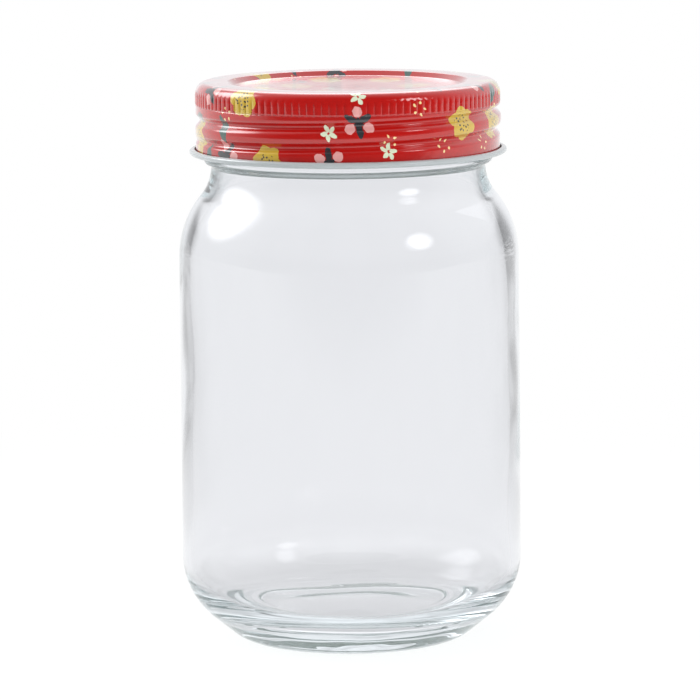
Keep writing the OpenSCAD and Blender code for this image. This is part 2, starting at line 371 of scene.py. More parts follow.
def soda_lime_glass(jar):
    """Pressed soda-lime glass: clear and water-bright.

    It is faintly blue-grey where the sight line runs along the wall or through the base. Lamp
    light passes, so the inside isn't dark.
    """
    material, tree, output = new_material("soda_lime_glass")
    glass = put(
        tree,
        "BsdfPrincipled",
        {"Base Color": (1, 1, 1, 1), "Roughness": 0.0, "IOR": 1.52, "Transmission Weight": 1.0},
    )
    clear = put(tree, "BsdfTransparent", {"Color": (0.93, 0.95, 0.95, 1)})
    path = put(tree, "LightPath")
    lit = put(tree, "MixShader", (path["Is Shadow Ray"], glass[0], clear[0]))
    soft = put(tree, "MixShader", (path["Is Diffuse Ray"], lit[0], clear[0]))
    tree.links.new(soft[0], output.inputs["Surface"])
    depth = put(tree, "VolumeAbsorption", {"Color": (*jar.tint, 1), "Density": 6.0})
    tree.links.new(depth[0], output.inputs["Volume"])
    return material


def motif_cell(tree, point, gap, around, offset, seed, jitter):
    """One scattered layer of the print: the place inside the nearest cell, turned at random.

    Gives that place flat and as a distance and a bearing from the cell's middle, and the random
    number that picks the cell's motif.
    """
    row_gap = gap * sqrt(3) / 2
    per_cell = (1 / gap, 1 / row_gap, 0)
    scaled = put(tree, "VectorMath", (point, per_cell, (*offset, 0)), "MULTIPLY_ADD")[0]
    # Every other row is shifted by half a cell
    number = put(tree, "VectorMath", (scaled,), "FLOOR")[0]
    row = put(tree, "SeparateXYZ", (number,))[1]
    odd = put(tree, "Math", (row, 2.0), "FLOORED_MODULO")[0]
    half = put(tree, "Math", (odd, 0.5), "MULTIPLY")[0]
    shift = put(tree, "CombineXYZ", (half,))[0]
    shifted = put(tree, "VectorMath", (scaled, shift), "ADD")[0]
    # The rows climb by two in a turn, so past the seam a cell has the number two rows lower
    cell = put(tree, "VectorMath", (shifted,), "FLOOR")[0]
    column, row, _ = put(tree, "SeparateXYZ", (cell,))
    turns = put(tree, "Math", (column, around), "DIVIDE")[0]
    turns = put(tree, "Math", (turns,), "FLOOR")[0]
    column = put(tree, "Math", (turns, -around, column), "MULTIPLY_ADD")[0]
    row = put(tree, "Math", (turns, -2.0, row), "MULTIPLY_ADD")[0]
    wrapped = put(tree, "CombineXYZ", (column, row))[0]
    seeded = put(tree, "VectorMath", (wrapped, (seed, seed, seed)), "ADD")[0]
    chance = put(tree, "TexWhiteNoise", (seeded,), noise_dimensions="3D")["Color"]
    inside = put(tree, "VectorMath", (shifted,), "FRACTION")[0]
    size, middle = (gap, row_gap, 0), (-gap / 2, -row_gap / 2, 0)
    centred = put(tree, "VectorMath", (inside, size, middle), "MULTIPLY_ADD")[0]
    size, middle = (jitter, jitter, 0), (-jitter / 2, -jitter / 2, 0)
    moved = put(tree, "VectorMath", (chance, size, middle), "MULTIPLY_ADD")[0]
    local = put(tree, "VectorMath", (centred, moved), "SUBTRACT")[0]
    pick, _, spin = put(tree, "SeparateXYZ", (chance,))
    angle = put(tree, "Math", (spin, 2 * pi), "MULTIPLY")[0]
    given = {"Vector": local, "Angle": angle}
    turned = put(tree, "VectorRotate", given, rotation_type="Z_AXIS")[0]
    flat = put(tree, "VectorMath", (turned, (1, 1, 0)), "MULTIPLY")[0]
    x, y, _ = put(tree, "SeparateXYZ", (flat,))
    away = put(tree, "VectorMath", (flat,), "LENGTH")["Value"]
    bearing = put(tree, "Math", (y, x), "ARCTAN2")[0]
    return SimpleNamespace(x=x, y=y, flat=flat, away=away, bearing=bearing, pick=pick)


def petal_space(tree, cell, count, turn=0.0):
    """The cell's point, folded so that a shape on the X axis comes count times round the middle."""
    bearing = put(tree, "Math", (cell.bearing, turn), "ADD")[0]
    folded = put(tree, "Math", (bearing, pi / count, -pi / count), "WRAP")[0]
    east = put(tree, "Math", (folded,), "COSINE")[0]
    north = put(tree, "Math", (folded,), "SINE")[0]
    x = put(tree, "Math", (cell.away, east), "MULTIPLY")[0]
    y = put(tree, "Math", (cell.away, north), "MULTIPLY")[0]
    return put(tree, "CombineXYZ", (x, y))[0]


def oval(tree, point, centre, half_length, half_width):
    """1 inside an oval on the X axis, and 0 outside."""
    scale, shift = (1 / half_length, 1 / half_width, 0), (-centre / half_length, 0, 0)
    scaled = put(tree, "VectorMath", (point, scale, shift), "MULTIPLY_ADD")[0]
    size = put(tree, "VectorMath", (scaled,), "LENGTH")["Value"]
    return put(tree, "Math", (size, 1.0), "LESS_THAN")[0]


def pointed_leaf(tree, cell, half_length, half_width):
    """1 inside a leaf that comes to a point at both ends, and 0 outside."""
    share = put(tree, "Math", (cell.x, 1 / half_length), "MULTIPLY")[0]
    share = put(tree, "Math", (share, share), "MULTIPLY")[0]
    taper = put(tree, "Math", (share, -half_width, half_width), "MULTIPLY_ADD")[0]
    half = put(tree, "Math", (cell.y,), "ABSOLUTE")[0]
    return put(tree, "Math", (half, taper), "LESS_THAN")[0]


def crescent(tree, cell, radius, bite_centre, bite_radius):
    """1 inside a disc with a round bite out of it, and 0 outside."""
    disc = put(tree, "Math", (cell.away, radius), "LESS_THAN")[0]
    from_bite = put(tree, "VectorMath", (cell.flat, bite_centre), "DISTANCE")["Value"]
    kept = put(tree, "Math", (from_bite, bite_radius), "GREATER_THAN")[0]
    return put(tree, "Math", (disc, kept), "MULTIPLY")[0]


def scalloped(tree, cell, radius, wave_height):
    """1 inside a blossom with six scallops, and 0 outside."""
    thrice = put(tree, "Math", (cell.bearing, 3.0), "MULTIPLY")[0]
    wave = put(tree, "Math", (thrice,), "COSINE")[0]
    wave = put(tree, "Math", (wave,), "ABSOLUTE")[0]
    edge = put(tree, "Math", (wave, wave_height, radius), "MULTIPLY_ADD")[0]
    return put(tree, "Math", (cell.away, edge), "LESS_THAN")[0]


def speckled(tree, cell, gap, dot_share, radius):
    """1 in dots scattered over a disc, and 0 elsewhere."""
    dots = put(
        tree,
        "TexVoronoi",
        {"Vector": cell.flat, "Scale": 1 / gap, "Randomness": 0.5},
        voronoi_dimensions="2D",
    )["Distance"]
    dot = put(tree, "Math", (dots, dot_share), "LESS_THAN")[0]
    disc = put(tree, "Math", (cell.away, radius), "LESS_THAN")[0]
    return put(tree, "Math", (dot, disc), "MULTIPLY")[0]


def print_ink(tree, base, cell, low, high, shape, ink):
    """Prints an ink over the base inside a shape, in cells that picked a number from low to high."""
    middle, reach = (low + high) / 2, (high - low) / 2
    picked = put(tree, "Math", (cell.pick, middle, reach), "COMPARE")[0]
    inked = put(tree, "Math", (picked, shape), "MULTIPLY")[0]
    return put(tree, "Mix", {SHARE: inked, UNDER: base, OVER: (*ink, 1)}, **COLOURS)[MIXED]


def printed_tinplate(lid):
    """Offset-printed tinplate under gloss varnish: flat, hard-edged inks on a red ground.

    The clear coat over them looks wet and has a faint orange peel.
    """
    material, tree, output = new_material("printed_tinplate")
    spot = put(tree, "UVMap", uv_map="print_mm")[0]
    # Brush-cut edges: the outlines wander by about 0.2 mm
    wobble = put(tree, "TexNoise", {"Vector": spot, "Scale": 0.9, "Detail": 1.0}, **ON_SHEET)["Color"]
    size, middle = (0.5, 0.5, 0), (-0.25, -0.25, 0)
    shaken = put(tree, "VectorMath", (wobble, size, middle), "MULTIPLY_ADD")[0]
    point = put(tree, "VectorMath", (spot, shaken), "ADD")[0]

    # A whole number of motifs goes round, and the rows climb by two in that turn
    around = round(pi * lid.skirt_d / lid.motif_gap)
    gap = pi * lid.skirt_d / around
    climb = sqrt(3) / around
    along, across, _ = put(tree, "SeparateXYZ", (point,))
    climbing = put(tree, "Math", (along, climb, across), "MULTIPLY_ADD")[0]
    point = put(tree, "CombineXYZ", (along, climbing))[0]
    large = motif_cell(tree, point, gap, around, (0.31, 0.12), 5.2, 2.4)
    above = motif_cell(tree, point, gap, around, (0.81, 0.12 + 1 / 3), 11.3, 1.8)
    below = motif_cell(tree, point, gap, around, (0.31, 0.12 - 1 / 3), 23.9, 1.8)

    # The ground's density drifts slightly, over about 8 mm
    drift = put(tree, "TexNoise", {"Vector": spot, "Scale": 0.12, "Detail": 2.0}, **ON_SHEET)[0]
    deep = tuple(0.9 * c for c in lid.red)
    inks = put(tree, "Mix", {SHARE: drift, UNDER: (*lid.red, 1), OVER: (*deep, 1)}, **COLOURS)[MIXED]
    for cell in (above, below):
        five = petal_space(tree, cell, 5)
        # Little flower, 3.8 mm across
        petals = oval(tree, five, 1.1, 0.85, 0.5)
        inks = print_ink(tree, inks, cell, 0.3, 0.5, petals, lid.mint)
        # Ring of five dots, 3.4 mm across
        dots = oval(tree, five, 1.4, 0.34, 0.26)
        inks = print_ink(tree, inks, cell, 0.5, 0.68, dots, lid.cream)
        # Leaf, 6.8 mm long
        leaf = pointed_leaf(tree, cell, 3.4, 1.35)
        inks = print_ink(tree, inks, cell, 0.0, 0.18, leaf, lid.green)
        # Crescent, 4.4 mm across
        moon = crescent(tree, cell, 2.2, (1.1, 0.5, 0), 1.75)
        inks = print_ink(tree, inks, cell, 0.18, 0.3, moon, lid.charcoal)

    # Berries on a charcoal sprig, 7 mm across
    three = petal_space(tree, large, 3)
    between = petal_space(tree, large, 3, pi / 3)
    stem = oval(tree, three, 1.2, 1.5, 0.28)
    leaves = oval(tree, between, 1.8, 1.7, 0.8)
    sprig = put(tree, "Math", (stem, leaves), "MAXIMUM")[0]
    inks = print_ink(tree, inks, large, 0.42, 0.82, sprig, lid.charcoal)
    berries = oval(tree, three, 2.5, 1.25, 1.1)
    inks = print_ink(tree, inks, large, 0.42, 0.82, berries, lid.pink)
    # Scalloped blossom, 8 mm across, with a speckled middle
    blossom = scalloped(tree, large, 3.2, 0.8)
    inks = print_ink(tree, inks, large, 0.0, 0.42, blossom, lid.mustard)
    pips = speckled(tree, large, 0.95, 0.24, 2.1)
    inks = print_ink(tree, inks, large, 0.0, 0.42, pips, lid.charcoal)

    # Orange peel of the varnish, about 1.5 mm from crest to crest
    peel = put(tree, "TexNoise", {"Vector": spot, "Scale": 0.65, "Detail": 1.0}, **ON_SHEET)[0]
    skin = put(tree, "Bump", {"Strength": 0.05, "Distance": 0.0002, "Height": peel})[0]
    surface = put(
        tree,
        "BsdfPrincipled",
        {
            "Base Color": inks,
            "Roughness": 0.13,
            "IOR": 1.5,
            "Coat Weight": 1.0,
            "Coat Roughness": 0.09,
            "Coat IOR": 1.5,
            "Normal": skin,
            "Coat Normal": skin,
        },
    )
    tree.links.new(surface[0], output.inputs["Surface"])
    return material


def white_lacquer(lid):
    """Stoving lacquer on tinplate: smooth, opaque, with a silky gloss.

    It is white inside the shell, and pale grey on the rolled edge, where it was stretched thin
    over the metal.
    """
    material, tree, output = new_material("white_lacquer")
    spot = put(tree, "TexCoord")["Object"]
    z = put(tree, "SeparateXYZ", (spot,))[2]
    edge = LID_TOP + (lid.curl_h - lid.height) * MM
    stretched = put(tree, "MapRange", (z, edge + 0.0006, edge, 0.0, 1.0), **SOFTLY)[0]
    white, grey = (*lid.enamel, 1), (*lid.lacquer, 1)
    coat = put(tree, "Mix", {SHARE: stretched, UNDER: white, OVER: grey}, **COLOURS)[MIXED]
    # Faint clouds in the coat, about 4 mm across
    cloud = put(tree, "TexNoise", {"Scale": 1 / 0.004, "Detail": 2.0})[0]
    shade = put(tree, "MapRange", {"Value": cloud, "To Min": 1.0, "To Max": 0.94})[0]
    tone = put(tree, "VectorMath", {0: coat, "Scale": shade}, "SCALE")[0]
    gloss = put(tree, "MapRange", {"Value": cloud, "To Min": 0.22, "To Max": 0.34})[0]
    surface = put(
        tree,
        "BsdfPrincipled",
        {"Base Color": tone, "Roughness": gloss, "IOR": 1.5, "Coat Weight": 0.6},
    )
    tree.links.new(surface[0], output.inputs["Surface"])
    return material


def plastisol(ring):
    """Flowed-in plastisol: soft, satin, off-white, with a faint skin of tiny pits."""
    material, tree, output = new_material("plastisol")
    pits = put(tree, "TexNoise", {"Scale": 1 / 0.0012, "Detail": 3.0})[0]
    dull = tuple(0.9 * c for c in ring.plastisol)
    tone = put(tree, "Mix", {SHARE: pits, UNDER: (*ring.plastisol, 1), OVER: (*dull, 1)}, **COLOURS)[MIXED]
    skin = put(tree, "Bump", {"Strength": 0.2, "Distance": 0.0001, "Height": pits})[0]
    surface = put(
        tree,
        "BsdfPrincipled",
        {"Base Color": tone, "Roughness": 0.5, "IOR": 1.53, "Normal": skin},
    )
    tree.links.new(surface[0], output.inputs["Surface"])
    return material


# ---------------------------------------------------------------- pieces


def glass_section(jar):
    """The jar's section: its outside from the base's middle to the lip, and its inside back down."""
    slope = degrees(jar.heel_slope)
    body_r, neck_r, mouth_r = jar.body_d / 2, jar.neck_d / 2, jar.mouth_d / 2
    bead_r, finish_r = jar.bead_d / 2, jar.finish_d / 2
    bead_top = LID_LOW / MM - UNDER_LID
    bead_low = bead_top - jar.bead_h
    lip_z = jar.height - jar.lip_r

    # The rounds of the shoulder and the throat touch each other, inside as well as outside
    throat_z = bead_low - jar.neck_h
    shoulder_c = jar.shoulder_d / 2 - jar.shoulder_r
    throat_c = neck_r + jar.throat_r
    shoulder_z = throat_z - rise(shoulder_c, throat_c, jar.shoulder_r + jar.throat_r)
    outer_turn = degrees(atan2(throat_z - shoulder_z, throat_c - shoulder_c))
    in_shoulder_r, in_throat_r = jar.shoulder_r - jar.wall, jar.throat_r + jar.wall
    in_throat_c = mouth_r + in_throat_r
    in_throat_z = shoulder_z + rise(shoulder_c, in_throat_c, in_shoulder_r + in_throat_r)
    inner_turn = degrees(atan2(in_throat_z - shoulder_z, in_throat_c - shoulder_c))

    # The heel's round and the foot's roll touch the cone between them
    foot_c = jar.foot_d / 2
    heel_c = body_r - jar.heel_r
    heel_z = jar.foot_r + (
        jar.heel_r - jar.foot_r + (heel_c - foot_c) * cos(jar.heel_slope)
    ) / sin(jar.heel_slope)
    floor_z = jar.punt_h + jar.base_t
    corner_c = body_r - jar.wall - jar.floor_corner_r
    corner_z = floor_z - jar.floor_rise + jar.floor_corner_r

    # The push-up is a dome that ends in a steep step at the foot ring
    punt_r = foot_c - jar.foot_w
    share = np.linspace(0, 1, 25)
    dome_h = jar.punt_step + (jar.punt_h - jar.punt_step) * np.cos(share * pi / 2)
    dome = np.stack([(punt_r - 1.5 * jar.punt_step) * share, dome_h], 1)
    step = np.array([punt_r, 0.0])
    down = (step - dome[-1]) / hypot(*(step - dome[-1]))
    bevel = 0.25
    ring_in = step + [bevel, 0]

    bead_round, bead_edge = 1.1, 0.4
    outside = np.vstack(
        [
            dome,
            line(dome[-1], step - bevel * down, 4),
            [step - bevel * down, ring_in],
            line(ring_in, (foot_c, 0.0), 3),
            arc(foot_c, jar.foot_r, jar.foot_r, -90, -slope, 40),
            arc(heel_c, heel_z, jar.heel_r, -slope, 0, 32),
            arc(shoulder_c, shoulder_z, jar.shoulder_r, 0, outer_turn, 36),
            arc(throat_c, throat_z, jar.throat_r, 180 + outer_turn, 180, 20)[1:],
            arc(bead_r - bead_round, bead_low + bead_round, bead_round, -90, 0, 12),
            arc(bead_r - bead_edge, bead_top - bead_edge, bead_edge, 0, 90, 8),
            line((finish_r, bead_top), (finish_r, lip_z), FINISH_STEPS),
            arc(finish_r - jar.lip_r, lip_z, jar.lip_r, 0, 90, LIP_STEPS),
        ]
    )
    share = np.linspace(1, 0, 21)[1:]
    floor_h = floor_z - jar.floor_rise * (1 - np.cos(pi * share)) / 2
    inside = np.vstack(
        [
            arc(mouth_r + jar.lip_r, lip_z, jar.lip_r, 90, 180, LIP_STEPS),
            arc(in_throat_c, in_throat_z, in_throat_r, 180, 180 + inner_turn, 20),
            arc(shoulder_c, shoulder_z, in_shoulder_r, inner_turn, 0, 32)[1:],
            line((shoulder_c + in_shoulder_r, shoulder_z), (body_r - jar.wall, corner_z), 16),
            arc(corner_c, corner_z, jar.floor_corner_r, 0, -90, 28),
            np.stack([corner_c * share, floor_h], 1),
        ]
    )
    places = {"bead_low": bead_low, "floor_z": floor_z, "corner_c": corner_c, "corner_z": corner_z}
    return SimpleNamespace(outside=outside, inside=inside, **places)


def glass_thread(jar, lid, degree, z):
    """How far the glass stands out at each direction and height, in the turns of its thread."""
    finish_r, thread_r = jar.finish_d / 2, jar.thread_d / 2
    skirt_in, groove_in = lid.skirt_d / 2 - lid.sheet, lid.groove_d / 2 - lid.sheet
    start, _, level, _ = groove(lid)
    begin = start + FADE_TURN / 2
    end = begin + 360 * jar.thread_turns
    # The thread's crest stands below the groove, by what keeps their flanks apart
    overlap = max(0, thread_r - groove_in)
    open_share = min(1, max(0, (skirt_in - thread_r) / (skirt_in - groove_in)))
    half_groove = lid.groove_w / 2 * degrees(acos(sqrt(open_share))) / 90
    flank = tan(radians(THREAD_FLANK))
    half_crest = jar.thread_crest / 2
    half_foot = half_crest + (thread_r - finish_r) * flank
    offset = half_crest + THREAD_GAP + max(half_groove, overlap * flank)
    first = degree + 360 * np.ceil((begin - degree) / 360)
    raised = np.zeros_like(z)
    for turn in (first, first + 360):
        full = np.clip(np.minimum(turn - begin, end - turn) / THREAD_FADE, 0, 1)
        height = LID_TOP / MM + level(turn) + offset
        side = np.clip((half_foot - np.abs(z - height)) / (half_foot - half_crest), 0, 1)
        raised = np.maximum(raised, full * smooth(side))
    return (thread_r - finish_r) * raised


def grip_marks(jar, degree, r, z):
    """Height of the short radial bars pressed into the roll beside the foot ring."""
    low, high, run_out = jar.foot_d / 2 + 0.6, jar.foot_d / 2 + 2.8, 0.3
    bars = smooth((np.cos(np.radians(degree) * jar.marks) - 0.2) / 0.5)
    band = smooth((r - low) / run_out) * smooth((high - r) / run_out) * (z < 2)
    return 0.16 * band * bars


def blown_wander(degree, z):
    """Slow waves round the blown inside, which drift with the height."""
    turn = np.radians(degree)
    return (
        np.sin(2 * turn + 0.05 * z + 0.7)
        + 0.6 * np.sin(3 * turn - 0.11 * z + 2.1)
        + 0.5 * np.sin(5 * turn + 0.07 * z + 4.0)
        + 0.35 * np.sin(9 * turn - 0.19 * z)
    )


class JAR_OT_glass(bpy.types.Operator):
    """Builds the pressed glass jar with its thread, its bead and the marks under its base."""

    bl_idname = "jar.glass"
    bl_label = "Glass Jar"

    def execute(self, context):
        jar = in_mm(context.scene.jar_glass)
        lid = in_mm(context.scene.jar_lid)
        section = glass_section(jar)
        outline = np.vstack([section.outside, section.inside])
        columns = 384
        degree = 360 * np.arange(columns) / columns
        radii = outline[:, :1] * np.ones(columns)
        heights = outline[:, 1:] * np.ones(columns)

        top = len(section.outside)
        finish_end = top - (LIP_STEPS + 1)
        on_finish = slice(finish_end - (FINISH_STEPS - 1), finish_end)
        radii[on_finish] += glass_thread(jar, lid, degree, heights[on_finish])
        heights[:top] += grip_marks(jar, degree, radii[:top], heights[:top])

        # The blown inside is uneven, and the pressed outside isn't
        r, z = radii[top:], heights[top:]
        wander = jar.uneven * blown_wander(degree, z)
        above_floor = z - section.floor_z
        on_wall = smooth((above_floor - 1) / 6) * smooth((section.bead_low - z) / 8)
        r += wander * on_wall
        reach = section.corner_c
        on_floor = smooth(1.5 * r / reach) * smooth((reach + 6 - r) / 6)
        on_floor *= (z < section.corner_z) & (above_floor < 3)
        z += 0.5 * wander * on_floor

        mesh = ring_mesh("glass_body", radii, heights, 50)
        place("glass_body", mesh, [soda_lime_glass(jar)], "jar", "glass_jar")
        return {"FINISHED"}


def lid_section(lid):
    """The shell's section: from the underside's middle, round the rolled edge and over the top."""
    sheet = lid.sheet
    flute_r = lid.knurl_d / 2 - lid.flute_depth
    corner_c = flute_r - lid.corner_r
    skirt_r = lid.skirt_d / 2
    flutes_end, skirt_top, skirt_end = -lid.knurl_end, -lid.knurl_end - LAND, PLAIN - lid.height

    # The panel's edge stands a little above the solid's flat panel, and its middle below
    drop = lid.panel_drop - lid.panel_lift
    fillet = 0.5
    panel_r = lid.panel_d / 2 - fillet
    rim_in = panel_r + lid.recess_w
    wall_h = drop - 2 * fillet
    reach = hypot(lid.recess_w, wall_h)
    lean = degrees(atan2(wall_h, lid.recess_w) + asin(min(1, 2 * fillet / reach)))
    # It is nearly flat in its middle, and steepest at its edge
    share = np.linspace(0, 1, 15)
    dish = np.stack([panel_r * share, -drop - lid.panel_dish * (1 - share**3)], 1)

    roll = lid.curl_w / 2
    roll_c = skirt_r - sheet + roll
    roll_z = lid.curl_h / 2 - lid.height
    roll_top = roll_z + 0.4

    def rolled(radius, start, end, steps):
        flattened = arc(0, 0, radius, start, end, steps) * [1, lid.curl_h / lid.curl_w]
        return flattened + [roll_c, roll_z]

    under = np.vstack(
        [
            dish[:-1] - [0, sheet],
            arc(panel_r, fillet - drop, fillet + sheet, -90, lean - 90, 8),
            arc(rim_in, -fillet, fillet - sheet, 90 + lean, 90, 8),
            arc(corner_c, -lid.corner_r, lid.corner_r - sheet, 90, 0, 10),
            line((flute_r - sheet, -lid.corner_r), (flute_r - sheet, flutes_end), 8),
            [[flute_r - sheet, flutes_end], [skirt_r - sheet, skirt_top]],
            line((skirt_r - sheet, skirt_top), (skirt_r - sheet, skirt_end), 30),
            [[skirt_r - sheet, skirt_end], [skirt_r - sheet, roll_top]],
            rolled(roll, -180, CURL_END, 26),
        ]
    )
    curl = rolled(roll - sheet, CURL_END, -180, 22)
    over = np.vstack(
        [
            curl,
            [[skirt_r, roll_top], [skirt_r, skirt_end]],
            line((skirt_r, skirt_end), (skirt_r, skirt_top), 44),
            [[skirt_r, skirt_top]],
            line((flute_r, skirt_top), (flute_r, -lid.corner_r), 22),
            arc(corner_c, -lid.corner_r, lid.corner_r, 0, 90, 18),
            arc(rim_in, -fillet, fillet, 90, 90 + lean, 10),
            arc(panel_r, fillet - drop, fillet, lean - 90, -90, 10),
            dish[-2::-1],
        ]
    )
    counts = {"curl_rows": len(curl), "dish_rows": len(dish)}
    places = {"corner_c": corner_c, "in_wall": (skirt_end, skirt_top)}
    return SimpleNamespace(under=under, over=over, **counts, **places)


def print_layout(mesh, lid, section, columns):
    """Lays the print out in millimetres: round the skirt, then flat across the panel."""
    outline = np.vstack([section.under, section.over])
    rows = len(outline)
    run = np.hypot(*np.diff(section.over, axis=0).T)
    along = np.concatenate([[0], np.cumsum(run)])
    v = np.concatenate([np.zeros(len(section.under)), along - along[section.curl_rows]])
    u = pi * lid.skirt_d * np.arange(columns + 1) / columns
    turn = 2 * pi * np.arange(columns + 1) / columns
    panel_row = rows - section.dish_rows - 1
    # The panel's print lies far enough from the skirt's not to repeat it
    panel_v = 500
    here = np.arange(columns)
    loops = []
    for row in range(rows - 1):
        corners = []
        for i, j in ((row, here), (row, here + 1), (row + 1, here + 1), (row + 1, here)):
            if row >= panel_row:
                r = outline[i, 0]
                corners.append(np.stack([r * np.cos(turn[j]), panel_v + r * np.sin(turn[j])], 1))
            else:
                corners.append(np.stack([u[j], np.full(columns, v[i])], 1))
        if row == 0:
            corners = [corners[0], corners[2], corners[3]]
        elif row == rows - 2:
            corners = corners[:3]
        loops.append(np.stack(corners, 1).reshape(-1, 2))
    layer = mesh.uv_layers.new(name="print_mm")
    layer.data.foreach_set("uv", np.vstack(loops).astype(np.float32).ravel())


class JAR_OT_lid(bpy.types.Operator):
    """Builds the printed tinplate lid, fluted and rolled, with its lacquered inside."""

    bl_idname = "jar.lid"
    bl_label = "Printed Lid"

    def execute(self, context):
        lid = in_mm(context.scene.jar_lid)
        section = lid_section(lid)
        outline = np.vstack([section.under, section.over])
        rows, columns = len(outline), 8 * lid.flutes
        degree = 360 * np.arange(columns) / columns
        radii = outline[:, :1] * np.ones(columns)
        heights = outline[:, 1:] * np.ones(columns)

        # Rolled groove and ridge, the sheet keeping its thickness
        r, z = outline.T
        skirt_r = lid.skirt_d / 2
        wall_low, wall_high = section.in_wall
        in_wall = (z <= wall_high) & (z >= wall_low) & (np.abs(r - skirt_r) < 1)
        radii[in_wall] += skirt_radius(lid, degree, heights[in_wall]) - skirt_r

        # Flutes: broad round ribs with narrow valleys, fading in over the corner
        rib = (0.5 + 0.5 * np.cos(np.radians(degree) * lid.flutes)) ** 0.3
        fade = smooth((-z - 1.2) / 1.9) * smooth((z + lid.knurl_end + LAND) / 0.45)
        fade *= r > section.corner_c
        radii += lid.flute_depth * fade[:, None] * rib

        mesh = ring_mesh("printed_shell", radii, heights + LID_TOP / MM, 35)
        # The second material, the lacquer, is on the underside's faces
        middle = np.repeat(np.arange(1, rows - 2), columns)
        face_row = np.concatenate([np.zeros(columns), middle, np.full(columns, rows - 2)])
        lacquered = (face_row < len(section.under)).astype(np.int32)
        mesh.polygons.foreach_set("material_index", lacquered)
        print_layout(mesh, lid, section, columns)
        materials = [printed_tinplate(lid), white_lacquer(lid)]
        place("printed_shell", mesh, materials, "lid", "lid_shell")
        return {"FINISHED"}


class JAR_OT_sealing_ring(bpy.types.Operator):
    """Builds the sealing ring flowed into the lid's channel."""

    bl_idname = "jar.sealing_ring"
    bl_label = "Sealing Ring"

    def execute(self, context):
        ring = in_mm(context.scene.jar_ring)
        out, inner = ring.outside_d / 2, ring.outside_d / 2 - ring.width
        low, high, edge = ring.low, ring.high, 0.2
        top_out = out - 0.74
        # A bead with rounded edges, its outside leaning in along the lid's rounded corner
        outline = np.vstack(
            [
                arc(inner + edge, high - edge, edge, 90, 180, 6),
                arc(inner + edge, low + edge, edge, 180, 270, 6),
                line((inner + edge, low), (out - edge, low), 8),
                arc(out - edge, low + edge, edge, -90, 0, 6),
                line((out, low + edge), (top_out, high), 6),
                [[top_out, high]],
            ]
        )
        columns, rows = 256, len(outline)
        turn = 2 * pi * np.arange(columns) / columns
        r, z = outline[:, :1], outline[:, 1:]
        # The lip leaves a faint dent in the underside
        dent = 0.03 * bump((r - inner - 2.2) / 1.4) * (z < low + 0.01)
        heights = (z + dent) * np.ones(columns)
        points = np.stack([r * np.cos(turn), r * np.sin(turn), heights], -1)
        here = np.arange(rows * columns).reshape(rows, columns)
        ahead = np.roll(here, -1, axis=1)
        quads = np.stack([here, ahead, np.roll(ahead, -1, axis=0), np.roll(here, -1, axis=0)], -1)
        mesh = bpy.data.meshes.new("sealing_ring")
        mesh.from_pydata((points.reshape(-1, 3) * MM).tolist(), [], quads.reshape(-1, 4).tolist())
        mesh.shade_smooth()
        mesh.set_sharp_from_angle(angle=radians(40))
        place("sealing_ring", mesh, [plastisol(ring)], "lid_carrier", "lid_gasket")
        return {"FINISHED"}


# ---------------------------------------------------------------- stage


def direction(azimuth, elevation):
    """Direction seen from the jar, with its azimuth to the right of the front, in degrees."""
    a, e = radians(azimuth), radians(elevation)
    return Vector((sin(a) * cos(e), -cos(a) * cos(e), sin(e)))


def lamp(name, azimuth, elevation, distance, width, height, power):
    """A soft box that faces the jar."""
    data = bpy.data.lights.new(name, "AREA")
    data.shape = "RECTANGLE"
    data.size, data.size_y = width, height
    data.energy = power
    box = bpy.data.objects.new(name, data)
    away = direction(azimuth, elevation)
    box.location = Vector((0, 0, 0.07)) + distance * away
    box.rotation_mode = "QUATERNION"
    box.rotation_quaternion = away.to_track_quat("Z", "Y")
    # Gloss and glass show the soft boxes of the surroundings instead
    box.visible_glossy = False
    box.visible_transmission = False
    bpy.context.scene.collection.objects.link(box)


def off_axis(tree, x, y, path, least, where):
    """What is left of the paper's light off the line straight behind the jar.

    It loses much for light that only ran along inside the wall, and the least share for the
    rest. The last value says how much of that holds at a place. On the floor this loss is painted shade.
    """
    bearing = put(tree, "Math", (x, y), "ARCTAN2")[0]
    bearing = put(tree, "Math", (bearing,), "ABSOLUTE")[0]
    rising = put(tree, "MapRange", (bearing, radians(13), radians(26), 0.0, 1.0), **SOFTLY)[0]
    falling = put(tree, "MapRange", (bearing, radians(38), radians(52), 1.0, 0.35), **SOFTLY)[0]
    band = put(tree, "Math", (rising, falling), "MULTIPLY")[0]
    grazing = put(tree, "Math", (path["Transmission Depth"], 2.5), "LESS_THAN")[0]
    most = put(tree, "Math", (grazing, 0.42, least), "MULTIPLY_ADD")[0]
    lost = put(tree, "Math", (band, most), "MULTIPLY")[0]
    lost = put(tree, "Math", (lost, where), "MULTIPLY")[0]
    return put(tree, "Math", (1.0, lost), "SUBTRACT")[0]


